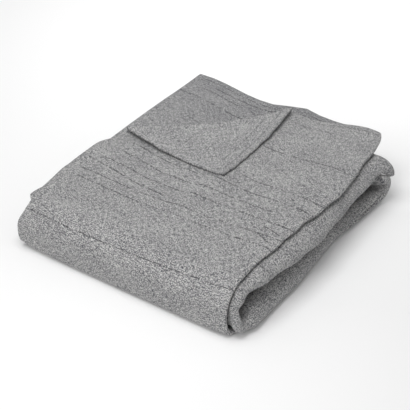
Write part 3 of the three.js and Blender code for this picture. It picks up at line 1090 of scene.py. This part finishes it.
def apply_modifiers(piece):
    """Makes the piece's mesh what its modifiers give, and removes them"""
    graph = bpy.context.evaluated_depsgraph_get()
    shown = piece.evaluated_get(graph)
    mesh = bpy.data.meshes.new_from_object(shown, preserve_all_data_layers=True, depsgraph=graph)
    piece.modifiers.clear()
    piece.data = mesh
    mesh.name = piece.name


class THROW_OT_fold_cloth(bpy.types.Operator):
    """Lay out the cloth, fold it into its stack and turn its corner back"""

    bl_idname = "throw.fold_cloth"
    bl_label = "Fold the throw"

    def execute(self, context):
        sizes = context.scene.throw_cloth
        bm = flat_cloth()
        fold_cloth(bm, sizes.unevenness)
        if not bm.faces:
            raise RuntimeError("the cloth has no faces")
        bmesh.ops.recalc_face_normals(bm, faces=bm.faces)
        piece = mesh_object("woven_throw", bm)
        group = hem_weights(piece, sizes)
        solidify = piece.modifiers.new("thickness", "SOLIDIFY")
        solidify.thickness = sizes.hem_thickness
        solidify.offset = 0.0
        solidify.vertex_group = group.name
        apply_modifiers(piece)
        piece.data.materials.append(throw_material(sizes, context.scene.throw_colours))
        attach(piece, "root")
        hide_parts("throw")
        return {"FINISHED"}


class THROW_OT_set_studio(bpy.types.Operator):
    """Set the pale floor, the soft lights and the camera"""

    bl_idname = "throw.set_studio"
    bl_label = "Set the studio"

    def execute(self, context):
        studio = context.scene.throw_studio
        self.lay_floor(studio)
        self.hang_lights(context.scene, studio)
        self.place_camera(context.scene, studio)
        context.scene.view_settings.view_transform = "Standard"
        return {"FINISHED"}

    def lay_floor(self, studio):
        bm = bmesh.new()
        bmesh.ops.create_grid(bm, x_segments=1, y_segments=1, size=FLOOR_REACH)
        floor = mesh_object("floor", bm)
        floor.data.materials.append(floor_material(studio.floor_colour))

    def hang_lights(self, scene, studio):
        lights = (
            ("key_light", studio.key_power, 0.6, (0.0, -0.3, 1.0), (0.0, 0.0, 0.0)),
            ("fill_light", studio.fill_power, 1.0, (0.05, -1.35, 0.8), (0.0, 0.0, 0.0)),
            ("backdrop_light", studio.backdrop_power, 1.0, (-0.2, 0.55, 1.0), (-0.5, 1.3, 0.4)),
        )
        for name, power, size, place, aim in lights:
            light = bpy.data.lights.new(name, "AREA")
            light.shape = "SQUARE"
            light.size = size
            light.energy = power
            lamp = link(bpy.data.objects.new(name, light))
            lamp.location = place
            lamp.rotation_euler = (Vector(aim) - Vector(place)).to_track_quat("-Z", "Y").to_euler()
        world = bpy.data.worlds.new("even_sky")
        world.use_nodes = True
        sky = world.node_tree.nodes["Background"]
        sky.inputs["Color"].default_value = (1.0, 1.0, 1.0, 1.0)
        sky.inputs["Strength"].default_value = studio.sky_strength
        scene.world = world

    def place_camera(self, scene, studio):
        camera = link(bpy.data.objects.new("camera", bpy.data.cameras.new("camera")))
        camera.location = studio.camera_place
        camera.rotation_euler = (studio.camera_tilt, 0.0, studio.camera_turn)
        camera.data.lens = studio.camera_lens
        camera.data.sensor_width = 36.0
        camera.data.clip_end = 50.0
        scene.camera = camera


class THROW_PT_build(bpy.types.Panel):
    """Buttons that build the throw and its studio"""

    bl_idname = "THROW_PT_build"
    bl_label = "Folded woven throw"
    bl_space_type = "VIEW_3D"
    bl_region_type = "UI"
    bl_category = "Throw"

    def draw(self, context):
        layout = self.layout
        for settings in (context.scene.throw_cloth, context.scene.throw_colours, context.scene.throw_studio):
            for name in settings.__annotations__:
                layout.prop(settings, name)
        for operator in (THROW_OT_fold_cloth, THROW_OT_set_studio):
            layout.operator(operator.bl_idname)


CLASSES = (ThrowCloth, ThrowColours, ThrowStudio, THROW_OT_fold_cloth, THROW_OT_set_studio, THROW_PT_build)


def register():
    for cls in CLASSES:
        bpy.utils.register_class(cls)
    bpy.types.Scene.throw_cloth = bpy.props.PointerProperty(type=ThrowCloth)
    bpy.types.Scene.throw_colours = bpy.props.PointerProperty(type=ThrowColours)
    bpy.types.Scene.throw_studio = bpy.props.PointerProperty(type=ThrowStudio)


def unregister():
    del bpy.types.Scene.throw_studio
    del bpy.types.Scene.throw_colours
    del bpy.types.Scene.throw_cloth
    for cls in reversed(CLASSES):
        bpy.utils.unregister_class(cls)


def main():
    register()
    bpy.ops.throw.fold_cloth()
    bpy.ops.throw.set_studio()


if __name__ == "__main__":
    main()
